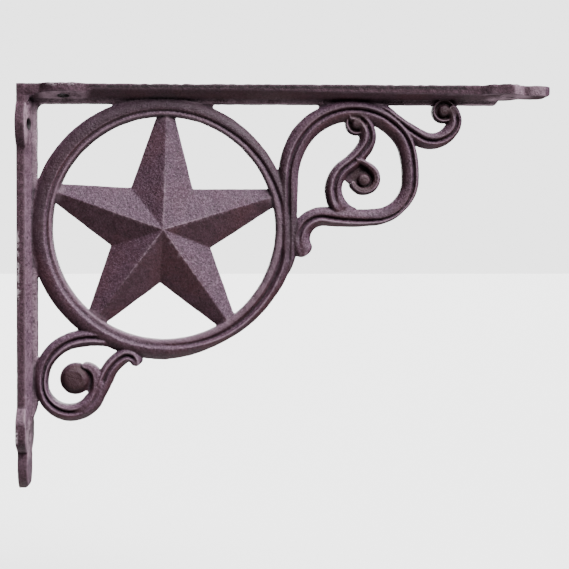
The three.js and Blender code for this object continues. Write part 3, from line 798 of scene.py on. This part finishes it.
def cast_iron():
    """Dark purple-brown sand-cast iron. Over a mottled skin lie brown patches, a painted sheen on
    faces that look up towards the key light, pale and dark grain, brown bosses, painted shade on
    the ring's outer band and painted light on its inner one, worn crests with painted highlights,
    pale worn ears with painted light on the ribs and the end ears' facets, dark side edges with red
    flecks and painted glints, rubbed edges with painted bright glints, painted shade and dark
    patina in the hollows, and painted shade in the screw holes. Bump is mottle, grain and small
    pits."""
    material = bpy.data.materials.new("cast_iron_skin")
    material.use_nodes = True
    tree = material.node_tree
    shader = tree.nodes["Principled BSDF"]
    here = Wire(tree, None)
    place = here.node("ShaderNodeTexCoord", output=3)

    def noise(size, detail=3.0, rough=0.55):
        return here.node("ShaderNodeTexNoise", Vector=place, Scale=1.0 / size, Detail=detail,
                         Roughness=rough)

    patches = noise(PATCH_SIZE)
    mottle = noise(MOTTLE_SIZE, 4.0)
    grain = noise(GRAIN_SIZE, 3.0, 0.7)
    fine = noise(FINE_SIZE, 2.0, 0.6)
    pits = here.node("ShaderNodeTexVoronoi", Vector=place, Scale=1 / PIT_SIZE)
    hollow, wide, ridge, hole_shade, ear, side, upward_sheen, warm, rubbed_and_glinting, line, outer_band_shade, inner_band_light = (
        here.node("ShaderNodeAttribute", {"attribute_name": name}, output=2)
        for name in ("hollow", "wide_hollow", "ridge", "hole_shade", "ear", "side", "upward_sheen", "warm",
                     "rubbed_and_glinting", "line", "outer_band_shade", "inner_band_light"))

    skin = (mottle * 0.7 + patches * 0.5 - 0.1).between(0.25, 0.75).mix(DARK_SKIN, LIGHT_SKIN)
    brown = patches.between(0.46, 0.62) * 0.6
    skin = brown.mix(skin, BROWN)
    # Painted sheen on faces that look towards the key light; the pale grain below is also denser
    # there
    skin = (upward_sheen * 0.5).mix(skin, PAINTED_SHEEN)
    speckle = (grain * 0.6 + fine * 0.5).between(0.55, 0.66)
    skin = (speckle * (0.14 + upward_sheen * 0.44)).mix(skin, PALE_GRAIN)
    dark_speckle = (1 - grain * 0.6 - fine * 0.5).between(0.48, 0.60)
    skin = (dark_speckle * 0.85).mix(skin, DARK_GRAIN)
    skin = (warm * (0.55 + mottle * 0.4)).mix(skin, BOSS)
    # Painted light on the ring's inner band
    skin = (inner_band_light * (0.25 + mottle * 0.35)).mix(skin, PAINTED_INNER_LIGHT)
    worn = (0 - hollow - wide * 0.2 + (mottle - 0.5) * 0.2).between(0.10, 0.34) * (1 - side * 0.8)
    skin = (worn * 0.38).mix(skin, WORN)
    # Wear and painted highlight along fine crests and along the ridges of the front faces
    crest = (0 - hollow + (grain - 0.5) * 0.10).between(0.05, 0.14)
    skin = (crest * 0.26).mix(skin, CREST_WEAR_AND_HIGHLIGHT)
    skin = (ridge * (0.15 + mottle * 0.5)).mix(skin, RIDGE_WEAR_AND_HIGHLIGHT)
    # Painted shade on the ring's outer band
    skin = (outer_band_shade * (0.35 + mottle * 0.5)).mix(skin, PAINTED_OUTER_SHADE)
    # Pale worn ears, with painted light on the ribs' shaded faces and on the end ears' facets
    skin = (ear * (mottle * 0.7 + grain * 0.5).between(0.35, 0.75) * 0.9).mix(skin, PALE_EAR_AND_PAINTED_LIGHT)
    skin = (side * (0.50 + mottle * 0.5)).mix(skin, SIDE)
    red = side * (grain * 0.5 + fine * 0.5).between(0.44, 0.58)
    skin = (red * 0.35).mix(skin, SIDE_FLECK)
    skin = (line * (grain * 0.6 + mottle * 0.5).between(0.40, 0.55)).mix(skin, TOP_LINE)
    # Painted highlight: glints on the side edges
    painted_glint = side * (mottle * 0.4 + grain * 0.5 + fine * 0.2).between(0.60, 0.68)
    skin = (painted_glint * 0.35).mix(skin, SIDE_GLINT_HIGHLIGHT)
    # Bright glints on rubbed edges: wear and painted highlight
    bright = rubbed_and_glinting * (mottle * 0.6 + grain * 0.5).between(0.50, 0.60)
    skin = (bright * 0.7).mix(skin, RUBBED_GLINT_COLOUR)
    # Painted shade in the hollows, together with the dark patina that lies in them
    sunk_shade_and_patina = (hollow + wide * 0.45).between(0.03, 0.42)
    skin = (sunk_shade_and_patina * 0.9).mix(skin, HOLLOW_SHADE_AND_PATINA)
    # Painted shade inside the screw holes
    skin = (hole_shade * 0.95).mix(skin, HOLE_SHADE)
    tree.links.new(skin.socket, shader.inputs["Base Color"])

    rough = 0.60 + (mottle - 0.5) * 0.3 + (sunk_shade_and_patina + side) * 0.2 - worn * 0.14
    tree.links.new(rough.socket, shader.inputs["Roughness"])
    shader.inputs["Metallic"].default_value = 0.0
    shader.inputs["Specular IOR Level"].default_value = 0.3
    pit_depth = 1 - pits.between(0.0, 0.35)
    height = mottle * 0.5 + grain * 0.5 + fine * 0.22 - pit_depth * 0.12
    bump = here.node("ShaderNodeBump", Strength=0.9, Distance=0.0009, Height=height)
    tree.links.new(bump.socket, shader.inputs["Normal"])
    return material


iron = cast_iron()
casting.data.materials.clear()
casting.data.materials.append(iron)
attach(casting, "root")
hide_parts("bracket_casting")


# ---- Floor, light and camera, in metres ----
FLOOR_REACH = 30.0
FLOOR_LEVEL = -0.17
FLOOR_COLOUR, FLOOR_ROUGHNESS = (0.92, 0.92, 0.92), 0.9
SKY_LIGHT = 0.10
SKY_SEEN = 3.0
# Each light: the way from the object to it, its width in degrees and its strength
LIGHTS = {"key": ((0.44, -0.46, 0.74), 50.0, 13.0), "bounce": ((0.0, -0.05, -1.0), 60.0, 3.2),
          "back": ((-0.1, 0.9, 0.4), 50.0, 7.0)}
SENSOR_WIDTH = 36.0
FOCAL_PIXELS = 1312.9
PHOTO_PIXELS = 569
CAMERA_PLACE = (0.098333, -0.599539, 0.006778)
CAMERA_RIGHT, CAMERA_DOWN = math.radians(2.1), math.radians(0.8)


def plain(name, colour, roughness):
    """A material of one colour."""
    material = bpy.data.materials.new(name)
    material.use_nodes = True
    shader = material.node_tree.nodes["Principled BSDF"]
    shader.inputs["Base Color"].default_value = opaque(colour)
    shader.inputs["Roughness"].default_value = roughness
    return material


def make_floor():
    """A wide square that the camera sees and that neither lights nor shades the casting."""
    data = bpy.data.meshes.new("floor")
    corners = [(x * FLOOR_REACH, y * FLOOR_REACH, FLOOR_LEVEL)
               for x, y in ((-1, -1), (1, -1), (1, 1), (-1, 1))]
    data.from_pydata(corners, [], [(0, 1, 2, 3)])
    floor = bpy.data.objects.new("floor", data)
    floor.data.materials.append(plain("pale_floor", FLOOR_COLOUR, FLOOR_ROUGHNESS))
    floor.visible_diffuse = False
    floor.visible_glossy = False
    floor.visible_shadow = False
    bpy.context.scene.collection.objects.link(floor)
    return floor


def make_sky():
    """A white world that lights the object by SKY_LIGHT and looks SKY_SEEN bright."""
    world = bpy.data.worlds.new("studio")
    world.use_nodes = True
    sky = world.node_tree.nodes["Background"]
    sky.inputs["Color"].default_value = opaque((1.0, 1.0, 1.0))
    seen = world.node_tree.nodes.new("ShaderNodeLightPath")
    shade = world.node_tree.nodes.new("ShaderNodeMapRange")
    shade.inputs["To Min"].default_value = SKY_LIGHT
    shade.inputs["To Max"].default_value = SKY_SEEN
    world.node_tree.links.new(seen.outputs["Is Camera Ray"], shade.inputs["Value"])
    world.node_tree.links.new(shade.outputs[0], sky.inputs["Strength"])
    bpy.context.scene.world = world


def soft_sun(name, towards, spread, strength):
    """A distant soft light: towards is the way from the object to the light, spread its width."""
    data = bpy.data.lights.new(name, "SUN")
    data.angle = math.radians(spread)
    data.energy = strength
    lamp = bpy.data.objects.new(name, data)
    lamp.rotation_euler = (-Vector(towards)).to_track_quat("-Z", "Y").to_euler()
    bpy.context.scene.collection.objects.link(lamp)


def make_camera():
    """The photo's camera: it looks along +y, turned a little to the right and down."""
    data = bpy.data.cameras.new("photo_camera")
    data.sensor_width = SENSOR_WIDTH
    data.lens = SENSOR_WIDTH * FOCAL_PIXELS / PHOTO_PIXELS
    data.clip_start = 0.01
    camera = bpy.data.objects.new("photo_camera", data)
    camera.location = CAMERA_PLACE
    level = math.cos(CAMERA_DOWN)
    gaze = Vector((math.sin(CAMERA_RIGHT) * level, math.cos(CAMERA_RIGHT) * level,
                   -math.sin(CAMERA_DOWN)))
    camera.rotation_euler = gaze.to_track_quat("-Z", "Y").to_euler()
    bpy.context.scene.collection.objects.link(camera)
    bpy.context.scene.camera = camera


floor = make_floor()
make_sky()
for name, light in LIGHTS.items():
    soft_sun(name, *light)
make_camera()
